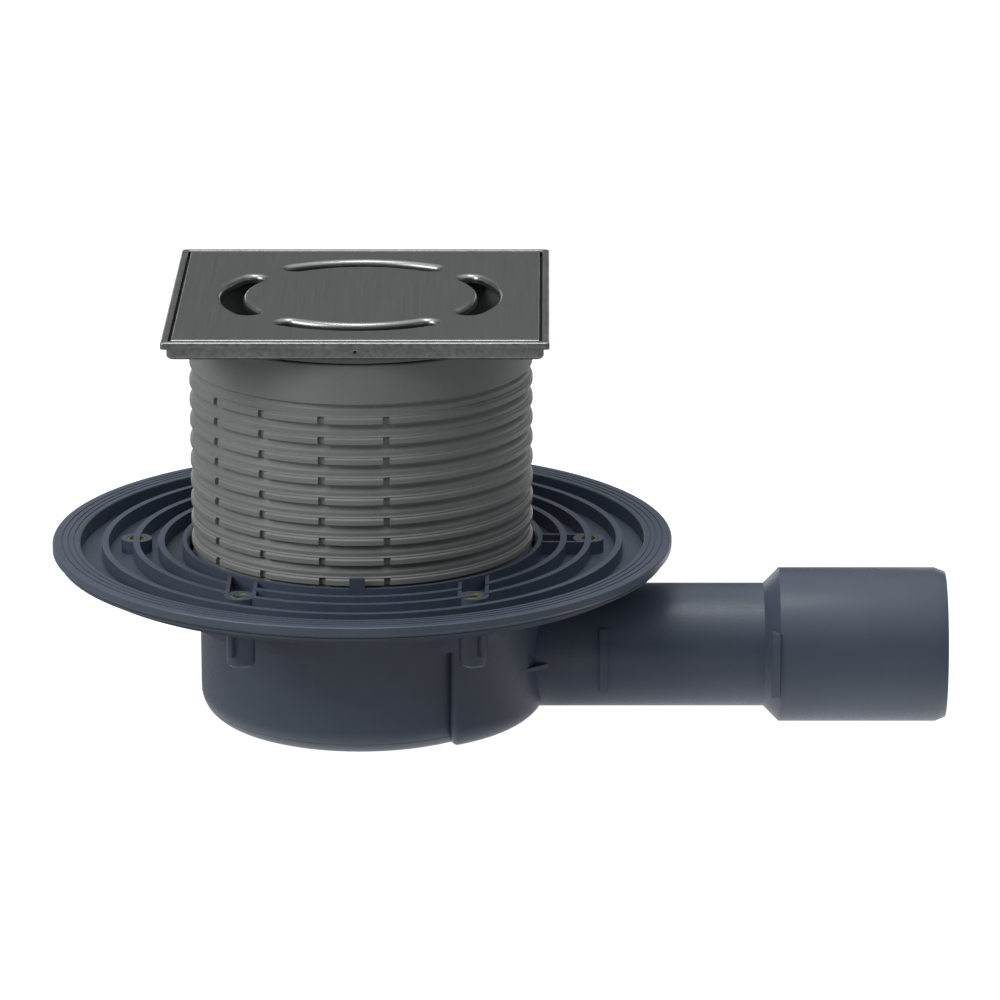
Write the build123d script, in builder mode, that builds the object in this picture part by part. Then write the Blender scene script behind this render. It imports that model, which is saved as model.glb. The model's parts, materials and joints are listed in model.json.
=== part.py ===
from build123d import *

import os
from math import asin, cos, degrees, radians, sin, sqrt

os.makedirs("parts", exist_ok=True)

# A shower floor drain with a water trap and a horizontal outlet. The origin is on the
# drain's vertical axis, at the centre of the bowl's flat base. +Z is up and the outlet
# points along +X. All sizes are in millimetres.

# Bowl of the drain body
bowl_r = 52.7
bowl_wall = 2.0
bowl_edge_round = 9.0
bulge_shift = 7.0
bulge_start_x = 29.0
bulge_corner_round = 2.0

# Seat for the trap insert, inside the bowl
lip_inset = 6.2
lip_low_z = 32.4
lip_height = 3.0

# Socket that takes the extension tube
socket_clearance = 3.3
socket_wall = 2.2
socket_outside_low_z = 34.9
socket_floor_z = 36.9
socket_top_z = 58.2
socket_lead = 0.8
tab_width = 4.8
tab_height = 3.4

# Clamping flange
trough_floor_z = 53.4
trough_floor_thickness = 2.3
flange_r = 100.0
rim_width = 9.0
rim_top_z = 58.6
rim_wall = 2.2
rim_face_low_z = 56.2
rim_foot_z = 53.7
rim_foot_inset = 2.3
rim_edge_round = 0.6
rib_width = 2.1
rib_top_z = 58.0
rib_insets = (35.0, 27.0, 17.0)
rim_groove_insets = (7.0, 5.1, 3.1)
rim_groove_width = 0.5
rim_groove_depth = 0.25
rim_bead_height = 0.8
rim_bead_proud = 0.4

# Screw bosses and their threaded inserts
boss_count = 6
boss_circle_inset = 27.0
boss_r = 4.95
boss_foot_r = 4.45
boss_top_z = 57.7
boss_low_z = 34.9
boss_foot_chamfer = 0.9
boss_fin_width = 1.3
boss_fin_reach = 1.5
boss_fin_low_z = 39.0
pocket_wall = 1.2
pocket_width = 9.7
clear_pocket_angles = (60, 120, 240, 300)
insert_r = 3.2
insert_length = 9.0
insert_seat_clearance = 0.05
screw_hole_r = 2.1
screw_run_out = 6.0

# Outlet
outlet_z = 21.7
outlet_r = 20.0
outlet_wall = 2.0
outlet_neck_end_x = 129.8
spigot_r = 25.0
spigot_wall = 2.4
spigot_end_x = 188.8
spigot_lead = 3.3
spigot_lead_depth = 1.3
mouth_top_z = 31.7
gusset_thickness = 1.3
gusset_reach = 9.3
gusset_spread = 6.5
gusset_root_inset = 7.7
gusset_sink = 6.0
gusset_drop = 1.0
pad_proud = 1.0
pad_half_height = 10.7
pad_rows = ((77.9, 2.6, outlet_r), (133.3, 2.6, spigot_r))

# Extension tube
seat_gap = 0.3
tube_length = 93.0
tube_clearance = 1.0
tube_wall = 3.5
neck_length = 12.8
neck_taper = 2.3
crest_proud = 0.1
valley_depth = 1.0
crest_width = 1.9
shoulder_inset = 0.3
shoulder_rise = 1.95
cove_inset = 0.8
cove_top = 1.2
cove_low = 1.7
cove_foot_inset = 0.2
cove_fall = 3.75
ring_slope = 0.2
ring_pitch = 6.58
ring_count = 10
notched_rings = 9
first_ring_drop = 18.45
notch_angles = (-145.0, -123.2, -101.6, -80.1)
notch_width = 1.6
notch_height = 2.9
notch_rise = 0.25
notch_depth = 1.0
tube_lead = 1.0

# Rubber seal between the tube and the socket
seal_groove_depth = 1.1
seal_height = 4.0
seal_rise = 5.5
seal_clearance = 0.1
seal_lip_width = 1.2

# Neck ring, which joins the grate's frame to the tube
neck_ring_height = 2.6
ring_spigot_depth = 16.5
neck_ring_wall = 2.0
ring_upstand_reach = 1.5
spigot_clearance = 0.1

# Grate frame: a stepped square casting that shows in the floor
step_half = 58.7
step_height = 3.8
step_corner_round = 2.0
step_edge_round = 1.2
frame_half = 60.5
frame_height = 2.3
frame_ledge = 0.8
frame_rim = 1.6
frame_corner_round = 1.0
channel_width = 1.8
channel_floor = 0.35
front_hole_r = 0.5
front_hole_depth = 1.2

# Grate
grate_gap = 1.6
grate_thickness = 1.5
grate_corner_round = 0.8
slot_bore_clearance = 4.8
slot_width = 7.3
slot_half_angle = 37.0
slot_count = 4
grate_edge_round = 0.5
lip_angle = 1.5
lip_wall = 1.1
lip_drop = 1.4
lip_round = 1.4

# Trap insert: funnel, seal ring and cup
funnel_flange_overlap = 2.5
funnel_sheet = 1.5
funnel_neck_clearance = 0.3
funnel_neck_depth = 3.4
funnel_fall = 1.2
dip_r = 24.0
dip_wall = 1.8
dip_end_z = 9.5
pull_bar_width = 4.0
pull_bar_thickness = 2.2
pull_bar_height = 10.0
ring_section_r = 1.1
ring_clearance = 0.05
cup_r = 34.5
cup_wall = 1.5
cup_rim_z = 27.5
cup_foot_height = 1.0
cup_foot_r = 2.5
cup_post_count = 3
cup_post_width = 7.0
fit_gap = 0.1

# Heights and radii that follow from the sizes above
plate_low_z = trough_floor_z - trough_floor_thickness
bowl_bore_r = bowl_r - bowl_wall
lip_r = bowl_r - lip_inset
socket_r = bowl_r + socket_clearance
rim_inner_r = flange_r - rim_width
boss_circle_r = flange_r - boss_circle_inset
rib_radii = [flange_r - inset for inset in rib_insets]
funnel_flange_r = lip_r + funnel_flange_overlap
socket_outer_r = socket_r + socket_wall
neck_r = socket_r - tube_clearance
tube_bore_r = neck_r - tube_wall
crest_r = neck_r + crest_proud
valley_r = crest_r - valley_depth
shoulder_r = crest_r - shoulder_inset
cove_r = crest_r - cove_inset
cove_foot_r = crest_r - cove_foot_inset
seal_groove_r = valley_r - seal_groove_depth
ring_bore_r = tube_bore_r - neck_ring_wall
ring_upstand_r = tube_bore_r + ring_upstand_reach
slot_outer_r = ring_bore_r - slot_bore_clearance
slot_inner_r = slot_outer_r - slot_width
boss_step = 360 / boss_count
lip_top_z = lip_low_z + lip_height
wall_outer_x = max(bulge_shift + bowl_r, socket_outer_r)
cone_end_x = outlet_neck_end_x + spigot_r - outlet_r
tube_low_z = socket_floor_z + seat_gap
tube_top_z = tube_low_z + tube_length
ring_heights = [tube_top_z - first_ring_drop - i * ring_pitch for i in range(ring_count)]
seal_low_z = tube_low_z + seal_rise
frame_low_z = tube_top_z + neck_ring_height
step_top_z = frame_low_z + step_height
frame_top_z = step_top_z + frame_height
ledge_top_z = step_top_z + frame_ledge
grate_top_z = ledge_top_z + grate_thickness
grate_half = frame_half - frame_rim - grate_gap
ledge_half = frame_half - frame_rim - channel_width
match = 0.01
flange_low_z = lip_top_z + ring_clearance


def band(r_in, r_out, z_low, z_high, mode=Mode.ADD):
    """Adds one ring's upright section, from radius to radius and height to height."""
    with Locations(((r_in + r_out) / 2, (z_low + z_high) / 2)):
        Rectangle(r_out - r_in, z_high - z_low, mode=mode)


def polar(radius, angle, height=0.0):
    """Gives the point at a radius, an angle in degrees from +X, and a height."""
    return (radius * cos(radians(angle)), radius * sin(radians(angle)), height)


def curved_slot(r_in, r_out, half_angle, middle_angle, mode=Mode.ADD):
    """Adds one curved slot with round ends that reach the half angle each side of its middle."""
    middle_r = (r_in + r_out) / 2
    end_angle = half_angle - degrees(asin((r_out - r_in) / 2 / middle_r))
    path = CenterArc((0, 0), middle_r, middle_angle - end_angle, 2 * end_angle, mode=Mode.PRIVATE)
    SlotArc(path, r_out - r_in, mode=mode)


def pocket_rectangle(angle, width, mode=Mode.ADD):
    """Adds the pocket between a boss and the socket, square to the outlet or along it."""
    boss_x, boss_y, _ = polar(boss_circle_r, angle)
    across, along = (boss_y, boss_x) if angle == 0 else (boss_x, boss_y)
    start = sqrt(socket_r**2 - (abs(across) + pocket_width / 2) ** 2)
    middle = (start + abs(along)) / 2 * (1 if along > 0 else -1)
    length = abs(along) - start
    with Locations((middle, across) if angle == 0 else (across, middle)):
        Rectangle(*((length, width) if angle == 0 else (width, length)), mode=mode)


# The bowl's outlet side stands further out than the rest, from its step to the outlet.
with BuildPart() as bulge:
    with BuildSketch():
        with Locations((bulge_shift, 0)):
            Circle(bowl_r)
    extrude(amount=plate_low_z)
    fillet(bulge.edges().group_by(Axis.Z)[0], radius=bowl_edge_round)
    split(bisect_by=Plane.YZ.offset(bulge_start_x), keep=Keep.TOP)
    step_face = bulge.faces().sort_by(Axis.X)[0]
    fillet(
        [edge for edge in step_face.edges() if edge not in step_face.edges().filter_by(Axis.Y)],
        radius=bulge_corner_round,
    )

with BuildPart() as bulge_hollow:
    with BuildSketch(Plane.XY.offset(bowl_wall)):
        with Locations((bulge_shift, 0)):
            Circle(bowl_bore_r)
    extrude(amount=lip_low_z - bowl_wall)
    fillet(bulge_hollow.edges().group_by(Axis.Z)[0], radius=bowl_edge_round - bowl_wall)
    split(bisect_by=Plane.YZ.offset(bulge_start_x + bowl_wall), keep=Keep.TOP)

# Drain body: bowl, socket, clamping flange and outlet in one moulding
with BuildPart() as drain_body:
    with BuildSketch():
        Circle(bowl_r)
    extrude(amount=plate_low_z)
    fillet(drain_body.edges().group_by(Axis.Z)[0], radius=bowl_edge_round)
    add(bulge.part)
    with BuildSketch(Plane.XZ) as flange_section:
        band(0, rim_inner_r + rim_wall, plate_low_z, trough_floor_z)
        for rib_r in rib_radii:
            band(rib_r - rib_width / 2, rib_r + rib_width / 2, plate_low_z, rib_top_z)
        with BuildLine():
            foot_r = flange_r - rim_foot_inset
            Polyline(
                (rim_inner_r, plate_low_z),
                (rim_inner_r + rim_wall, plate_low_z),
                (rim_inner_r + rim_wall, rim_top_z - rim_wall),
                (foot_r - rim_wall, rim_top_z - rim_wall),
                (foot_r - rim_wall, rim_foot_z),
                (foot_r + rim_bead_proud, rim_foot_z),
                (foot_r + rim_bead_proud, rim_foot_z + rim_bead_height),
                (foot_r + rim_bead_proud / 2, rim_foot_z + rim_bead_height),
                (flange_r, rim_face_low_z),
                (flange_r, rim_top_z),
                (rim_inner_r, rim_top_z),
                close=True,
            )
        make_face()
        rim_corners = flange_section.vertices().filter_by(lambda corner: abs(corner.Y - rim_top_z) < match)
        fillet(rim_corners, radius=rim_edge_round)
        for inset in rim_groove_insets:
            groove_middle_r = flange_r - inset
            band(
                groove_middle_r - rim_groove_width / 2,
                groove_middle_r + rim_groove_width / 2,
                rim_top_z - rim_groove_depth,
                rim_top_z,
                mode=Mode.SUBTRACT,
            )
    revolve(axis=Axis.Z)
    with BuildSketch(Plane.XY.offset(trough_floor_z)):
        for angle in clear_pocket_angles:
            pocket_rectangle(angle, pocket_width - 2 * pocket_wall)
    extrude(amount=rim_top_z - trough_floor_z, mode=Mode.SUBTRACT)
    with BuildSketch(Plane.XZ):
        band(0, socket_outer_r, socket_outside_low_z, socket_top_z)
    revolve(axis=Axis.Z)

    # Bosses with their fins, and the open pockets between bosses and socket
    with BuildSketch(Plane.XY.offset(boss_low_z)):
        with PolarLocations(boss_circle_r, boss_count):
            Circle(boss_foot_r)
    extrude(amount=boss_top_z - boss_low_z)
    with BuildSketch(Plane.XY.offset(plate_low_z)):
        with PolarLocations(boss_circle_r, boss_count):
            Circle(boss_r)
    extrude(amount=boss_top_z - plate_low_z)
    chamfer(
        drain_body.edges().filter_by(GeomType.CIRCLE).filter_by(
            lambda edge: abs(edge.radius - boss_foot_r) < match and abs(edge.arc_center.Z - boss_low_z) < match
        ),
        length=boss_foot_chamfer,
    )
    fin_length = boss_r + boss_fin_reach
    with Locations(
        [Location(polar(boss_circle_r, boss_step * i, boss_fin_low_z), (0, 0, boss_step * i)) for i in range(boss_count)]
    ):
        Box(
            fin_length,
            boss_fin_width,
            plate_low_z - boss_fin_low_z,
            align=(Align.MIN, Align.CENTER, Align.MIN),
        )
    with BuildSketch(Plane.XY.offset(plate_low_z)):
        for angle in (0, *clear_pocket_angles):
            pocket_rectangle(angle, pocket_width)
            pocket_rectangle(angle, pocket_width - 2 * pocket_wall, mode=Mode.SUBTRACT)
    extrude(amount=boss_top_z - plate_low_z)

    # Outlet pipe with its stepped spigot, side gussets and moulded pads
    with BuildSketch(Plane.XZ):
        with BuildLine():
            Polyline(
                (bowl_r - outlet_r, outlet_z),
                (bowl_r - outlet_r, outlet_z + outlet_r),
                (outlet_neck_end_x, outlet_z + outlet_r),
                (cone_end_x, outlet_z + spigot_r),
                (spigot_end_x - spigot_lead, outlet_z + spigot_r),
                (spigot_end_x, outlet_z + spigot_r - spigot_lead_depth),
                (spigot_end_x, outlet_z),
                close=True,
            )
        make_face()
    outlet_axis = Axis((0, 0, outlet_z), (1, 0, 0))
    revolve(axis=outlet_axis)
    with BuildSketch(Plane.XY.offset(outlet_z - gusset_drop - gusset_thickness / 2)):
        with BuildLine():
            gusset_root_x = wall_outer_x - gusset_root_inset
            Polyline(
                (gusset_root_x, -outlet_r - gusset_spread),
                (gusset_root_x + gusset_reach, -outlet_r + pad_proud),
                (gusset_root_x + gusset_reach, outlet_r - pad_proud),
                (gusset_root_x, outlet_r + gusset_spread),
                (gusset_root_x - gusset_sink, outlet_r + gusset_spread),
                (gusset_root_x - gusset_sink, -outlet_r - gusset_spread),
                close=True,
            )
        make_face()
    extrude(amount=gusset_thickness)
    for pad_x, pad_width, pipe_r in pad_rows:
        with BuildSketch(Plane.YZ.offset(pad_x - pad_width / 2)):
            with Locations((0, outlet_z)):
                Circle(pipe_r + pad_proud)
            with Locations((-pipe_r / 2 - pad_proud, outlet_z)):
                Rectangle(pipe_r + 2 * pad_proud, 2 * pad_half_height, mode=Mode.INTERSECT)
        extrude(amount=pad_width)

    # Tab on the socket's rim
    with BuildSketch(Plane.XZ.offset(socket_r)):
        with Locations((0, socket_top_z)):
            Rectangle(tab_width, 2 * tab_height)
    extrude(amount=socket_wall)

    # Everything hollow
    with BuildSketch(Plane.XZ):
        band(0, bowl_bore_r, bowl_wall, lip_low_z)
        band(0, lip_r, lip_low_z, lip_top_z)
        band(0, bowl_bore_r, lip_top_z, socket_floor_z)
        band(0, socket_r, socket_floor_z, socket_top_z + tab_height)
        with BuildLine():
            Polyline(
                (socket_r, socket_top_z - socket_lead),
                (socket_r + socket_lead, socket_top_z),
                (socket_r + socket_lead, socket_top_z + tab_height),
                (socket_r, socket_top_z + tab_height),
                close=True,
            )
        make_face()
    revolve(axis=Axis.Z, mode=Mode.SUBTRACT)
    add(bulge_hollow.part, mode=Mode.SUBTRACT)
    with BuildSketch(Plane.XZ):
        with BuildLine():
            Polyline(
                (wall_outer_x, outlet_z),
                (wall_outer_x, outlet_z + outlet_r - outlet_wall),
                (outlet_neck_end_x, outlet_z + outlet_r - outlet_wall),
                (cone_end_x, outlet_z + spigot_r - spigot_wall),
                (spigot_end_x + spigot_wall, outlet_z + spigot_r - spigot_wall),
                (spigot_end_x + spigot_wall, outlet_z),
                close=True,
            )
        make_face()
    revolve(axis=outlet_axis, mode=Mode.SUBTRACT)
    with BuildSketch(Plane.YZ.offset(bulge_start_x + bowl_wall)):
        with Locations((0, outlet_z)):
            Circle(outlet_r - outlet_wall)
        with Locations((0, mouth_top_z - outlet_r)):
            Rectangle(2 * outlet_r, 2 * outlet_r, mode=Mode.INTERSECT)
    extrude(amount=wall_outer_x - bulge_start_x, mode=Mode.SUBTRACT)
    with BuildSketch(Plane.XY.offset(boss_top_z)):
        with PolarLocations(boss_circle_r, boss_count):
            Circle(insert_r + insert_seat_clearance)
    extrude(amount=-insert_length, mode=Mode.SUBTRACT)
    with BuildSketch(Plane.XY.offset(boss_top_z)):
        with PolarLocations(boss_circle_r, boss_count):
            Circle(screw_hole_r)
    extrude(amount=-insert_length - screw_run_out, mode=Mode.SUBTRACT)
drain_body.part.label = "drain_body"
export_step(drain_body.part, "parts/drain_body.step")

# Brass threaded inserts, one in each boss
for i in range(boss_count):
    with BuildPart() as threaded_insert:
        with BuildSketch(Plane.XY.offset(boss_top_z)):
            with Locations(polar(boss_circle_r, boss_step * i)[:2]):
                Circle(insert_r)
                Circle(screw_hole_r, mode=Mode.SUBTRACT)
        extrude(amount=-insert_length)
    threaded_insert.part.label = f"threaded_insert_{i + 1}"
    export_step(threaded_insert.part, f"parts/threaded_insert_{i + 1}.step")

# Extension tube: plain neck, ribbed barrel and a plain lower end with the seal's groove
with BuildPart() as extension_tube:
    with BuildSketch(Plane.XZ):
        band(tube_bore_r, valley_r, tube_low_z, tube_top_z)
        with BuildLine():
            Polyline(
                (tube_bore_r, tube_top_z),
                (neck_r, tube_top_z),
                (neck_r, tube_top_z - neck_length),
                (valley_r, tube_top_z - neck_length - neck_taper),
                (tube_bore_r, tube_top_z - neck_length - neck_taper),
                close=True,
            )
        make_face()
        for ring_z in ring_heights:
            with BuildLine():
                Polyline(
                    (tube_bore_r, ring_z - cove_fall),
                    (valley_r, ring_z - cove_fall),
                    (cove_foot_r, ring_z - cove_fall + ring_slope),
                    (cove_r, ring_z - cove_low),
                    (cove_r, ring_z - cove_top),
                    (crest_r, ring_z - crest_width / 2),
                    (crest_r, ring_z + crest_width / 2),
                    (shoulder_r, ring_z + crest_width / 2 + ring_slope),
                    (shoulder_r, ring_z + shoulder_rise - ring_slope),
                    (valley_r, ring_z + shoulder_rise),
                    (tube_bore_r, ring_z + shoulder_rise),
                    close=True,
                )
            make_face()
        band(
            seal_groove_r,
            valley_r + tube_lead,
            seal_low_z - seal_clearance,
            seal_low_z + seal_height + seal_clearance,
            mode=Mode.SUBTRACT,
        )
    revolve(axis=Axis.Z)
    lead_edge = extension_tube.edges().group_by(Axis.Z)[0].sort_by(SortBy.RADIUS)[-1]
    chamfer(lead_edge, length=tube_lead)
    with Locations(
        [
            Location(polar(crest_r - notch_depth, angle, ring_z + notch_rise), (0, 0, angle))
            for ring_z in ring_heights[:notched_rings]
            for angle in notch_angles
        ]
    ):
        Box(
            2 * notch_depth,
            notch_width,
            notch_height,
            align=(Align.MIN, Align.CENTER, Align.CENTER),
            mode=Mode.SUBTRACT,
        )
extension_tube.part.label = "extension_tube"
export_step(extension_tube.part, "parts/extension_tube.step")

# Rubber seal: a body in the tube's groove and a lip that reaches the socket's wall
with BuildPart() as extension_seal:
    with BuildSketch(Plane.XZ):
        band(
            seal_groove_r + seal_clearance,
            valley_r + seal_clearance,
            seal_low_z,
            seal_low_z + seal_height,
        )
        with BuildLine():
            Polyline(
                (valley_r, seal_low_z),
                (valley_r, seal_low_z + seal_height),
                (socket_r - seal_clearance, seal_low_z + seal_height),
                (socket_r - seal_clearance, seal_low_z + seal_height - seal_lip_width),
                close=True,
            )
        make_face()
    revolve(axis=Axis.Z)
extension_seal.part.label = "extension_seal"
export_step(extension_seal.part, "parts/extension_seal.step")

# Neck ring: a round neck on the tube's end, a spigot in its bore and an upstand in the frame
with BuildPart() as neck_ring:
    with BuildSketch(Plane.XZ):
        band(ring_bore_r, neck_r, tube_top_z, frame_low_z)
        band(ring_bore_r, tube_bore_r - spigot_clearance, tube_top_z - ring_spigot_depth, tube_top_z)
        band(ring_bore_r, ring_upstand_r, frame_low_z, step_top_z)
    revolve(axis=Axis.Z)
neck_ring.part.label = "neck_ring"
export_step(neck_ring.part, "parts/neck_ring.step")

# Grate frame: the stepped outside, the tray for the grate and the recess for the neck ring
with BuildPart() as grate_frame:
    with BuildSketch(Plane.XY.offset(frame_low_z)):
        RectangleRounded(2 * step_half, 2 * step_half, step_corner_round)
    extrude(amount=step_height)
    fillet(grate_frame.edges().group_by(Axis.Z)[0], radius=step_edge_round)
    with BuildSketch(Plane.XY.offset(step_top_z)):
        RectangleRounded(2 * frame_half, 2 * frame_half, frame_corner_round)
    extrude(amount=frame_height)
    with BuildSketch(Plane.XY.offset(frame_top_z)):
        Rectangle(2 * (frame_half - frame_rim), 2 * (frame_half - frame_rim))
    extrude(amount=frame_ledge - frame_height, mode=Mode.SUBTRACT)
    with BuildSketch(Plane.XY.offset(ledge_top_z)):
        Rectangle(2 * (frame_half - frame_rim), 2 * (frame_half - frame_rim))
        Rectangle(2 * ledge_half, 2 * ledge_half, mode=Mode.SUBTRACT)
    extrude(amount=channel_floor - frame_ledge, mode=Mode.SUBTRACT)
    with BuildSketch(Plane.XZ.offset(frame_half)):
        with Locations((0, step_top_z)):
            Circle(front_hole_r)
    extrude(amount=-front_hole_depth - frame_half + step_half, mode=Mode.SUBTRACT)
    with BuildSketch(Plane.XY.offset(frame_low_z)):
        Circle(ring_upstand_r + spigot_clearance)
    extrude(amount=step_height, mode=Mode.SUBTRACT)
    with BuildSketch(Plane.XY.offset(step_top_z)):
        Circle(ring_bore_r)
    extrude(amount=frame_ledge, mode=Mode.SUBTRACT)
grate_frame.part.label = "grate_frame"
export_step(grate_frame.part, "parts/grate_frame.step")

# Grate: a pressed plate with four curved slots whose edges are rolled down
with BuildPart() as grate:
    with BuildSketch(Plane.XY.offset(ledge_top_z)):
        RectangleRounded(2 * grate_half, 2 * grate_half, grate_corner_round)
    extrude(amount=grate_thickness)
    with BuildSketch(Plane.XY.offset(ledge_top_z)):
        for i in range(slot_count):
            curved_slot(
                slot_inner_r - lip_wall,
                slot_outer_r + lip_wall,
                slot_half_angle + lip_angle,
                360 / slot_count * i,
            )
    extrude(amount=-lip_drop)
    with BuildSketch(Plane.XY.offset(grate_top_z)):
        for i in range(slot_count):
            curved_slot(slot_inner_r, slot_outer_r, slot_half_angle, 360 / slot_count * i)
    extrude(amount=-grate_thickness - lip_drop, mode=Mode.SUBTRACT)
    top_face = grate.faces().sort_by(Axis.Z)[-1]
    fillet(top_face.inner_wires().edges(), radius=lip_round)
    fillet(top_face.outer_wire().edges(), radius=grate_edge_round)
grate.part.label = "grate"
export_step(grate.part, "parts/grate.step")

# Trap funnel: flange on the bowl's lip, grooved neck, sloping floor, dip tube and pull bar
neck_outer_r = lip_r - funnel_neck_clearance
ring_middle_r = lip_r - ring_section_r - ring_clearance
groove_r = ring_middle_r - ring_section_r - ring_clearance
neck_bore_r = groove_r - funnel_sheet
neck_low_z = flange_low_z - funnel_neck_depth
ring_z = (neck_low_z + flange_low_z) / 2
funnel_top_z = flange_low_z + funnel_sheet
dip_bore_r = dip_r - dip_wall
with BuildPart() as trap_funnel:
    with BuildSketch(Plane.XZ):
        band(neck_bore_r, funnel_flange_r, flange_low_z, funnel_top_z)
        band(neck_bore_r, neck_outer_r, neck_low_z, flange_low_z)
        band(
            groove_r,
            lip_r,
            ring_z - ring_section_r - ring_clearance,
            ring_z + ring_section_r + ring_clearance,
            mode=Mode.SUBTRACT,
        )
        with BuildLine():
            Polyline(
                (neck_bore_r, funnel_top_z),
                (dip_bore_r, funnel_top_z - funnel_fall),
                (dip_bore_r, dip_end_z),
                (dip_r, dip_end_z),
                (dip_r, funnel_top_z - funnel_fall - funnel_sheet),
                (neck_bore_r, flange_low_z),
                close=True,
            )
        make_face()
    revolve(axis=Axis.Z)
    with BuildSketch(Plane.XZ.offset(-pull_bar_width / 2)):
        with Locations((0, funnel_top_z - funnel_fall)):
            Rectangle(2 * dip_r, 2 * pull_bar_height)
            Rectangle(
                2 * (dip_r - pull_bar_thickness),
                2 * (pull_bar_height - pull_bar_thickness),
                mode=Mode.SUBTRACT,
            )
            with Locations((0, -pull_bar_height / 2 - funnel_sheet / 2)):
                Rectangle(2 * dip_r, pull_bar_height - funnel_sheet, mode=Mode.SUBTRACT)
    extrude(amount=pull_bar_width)
trap_funnel.part.label = "trap_funnel"
export_step(trap_funnel.part, "parts/trap_funnel.step")

# Rubber ring in the funnel's groove
with BuildPart() as trap_ring:
    with BuildSketch(Plane.XZ):
        with Locations((ring_middle_r, ring_z)):
            Circle(ring_section_r)
    revolve(axis=Axis.Z)
trap_ring.part.label = "trap_ring"
export_step(trap_ring.part, "parts/trap_ring.step")

# Trap cup: it stands on the bowl's floor round the dip tube, and its posts meet the funnel
cup_low_z = bowl_wall + cup_foot_height
post_r = cup_r - cup_wall / 2
post_top_z = funnel_top_z - funnel_fall - funnel_sheet - fit_gap
with BuildPart() as trap_cup:
    with BuildSketch(Plane.XY.offset(cup_low_z)):
        Circle(cup_r)
    extrude(amount=cup_rim_z - cup_low_z)
    with BuildSketch(Plane.XY.offset(cup_low_z)):
        with PolarLocations(post_r - cup_foot_r, cup_post_count):
            Circle(cup_foot_r)
    extrude(amount=-cup_foot_height)
    with BuildSketch(Plane.XY.offset(cup_rim_z)):
        with PolarLocations(post_r, cup_post_count):
            Rectangle(cup_wall, cup_post_width)
    extrude(amount=post_top_z - cup_rim_z)
    with BuildSketch(Plane.XY.offset(cup_low_z + cup_wall)):
        Circle(cup_r - cup_wall)
    extrude(amount=cup_rim_z - cup_low_z - cup_wall, mode=Mode.SUBTRACT)
trap_cup.part.label = "trap_cup"
export_step(trap_cup.part, "parts/trap_cup.step")
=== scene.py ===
"""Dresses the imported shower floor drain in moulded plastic, steel, brass and rubber, in a pale studio."""

import json
import logging
from dataclasses import dataclass, field
from enum import Enum
from math import radians

import bmesh
import bpy
import numpy as np
from bpy.types import ID, Material, Mesh, Node, NodeTree, Object, bpy_prop_collection
from mathutils import Matrix, Vector

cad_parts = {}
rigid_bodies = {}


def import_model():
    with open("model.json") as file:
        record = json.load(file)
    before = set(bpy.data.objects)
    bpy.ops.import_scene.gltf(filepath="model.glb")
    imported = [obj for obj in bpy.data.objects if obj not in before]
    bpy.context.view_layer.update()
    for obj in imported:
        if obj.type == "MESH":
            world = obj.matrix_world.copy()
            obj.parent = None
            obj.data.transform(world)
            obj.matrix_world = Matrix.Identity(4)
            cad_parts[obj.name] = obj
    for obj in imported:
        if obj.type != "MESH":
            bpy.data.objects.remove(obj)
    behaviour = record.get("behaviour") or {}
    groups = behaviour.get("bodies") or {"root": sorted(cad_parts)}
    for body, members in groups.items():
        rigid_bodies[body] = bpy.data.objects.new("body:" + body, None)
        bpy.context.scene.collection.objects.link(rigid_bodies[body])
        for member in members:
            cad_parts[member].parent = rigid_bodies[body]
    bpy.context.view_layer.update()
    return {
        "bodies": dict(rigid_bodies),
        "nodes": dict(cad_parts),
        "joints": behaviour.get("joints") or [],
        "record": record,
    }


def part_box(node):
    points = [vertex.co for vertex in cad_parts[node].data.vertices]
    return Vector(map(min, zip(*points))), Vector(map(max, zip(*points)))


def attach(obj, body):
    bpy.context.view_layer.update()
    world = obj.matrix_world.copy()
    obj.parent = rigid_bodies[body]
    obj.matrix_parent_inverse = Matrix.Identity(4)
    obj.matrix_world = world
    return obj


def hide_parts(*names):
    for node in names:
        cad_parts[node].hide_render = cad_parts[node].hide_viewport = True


LOG = logging.getLogger("floor_drain")
Triple = tuple[float, float, float]
MM = 0.001
TURN = 2 * np.pi
# Metres within which points are one, and degrees within which faces are.
MERGE_DISTANCE = 2e-6
FLAT_ANGLE = 0.3
# What rounded_profile takes as no rounding, no bend, no turn and no step.
NO_ROUND, NO_BEND, NO_TURN, NO_STEP = 1e-5, 1e-6, 1e-9, 2e-4
# The part of a noise's range that is spread over tones and roughness.
TONE_RANGE = (0.32, 0.68)
ROUGH_RANGE = (0.3, 0.7)
# Shares of the patches and of the lines in a steel's pattern.
PATCH_SHARE, LINE_SHARE = 0.35, 0.65


class Body(Enum):
    """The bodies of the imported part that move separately."""

    DRAIN = "drain_body"
    SEAL = "seal"
    EXTENSION = "extension"


class Grain(Enum):
    """The way that the polishing lines of a steel surface run."""

    ALONG_Y = (2200.0, 30.0, 2200.0)
    NONE = (700.0, 700.0, 700.0)


# Shapes


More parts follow.
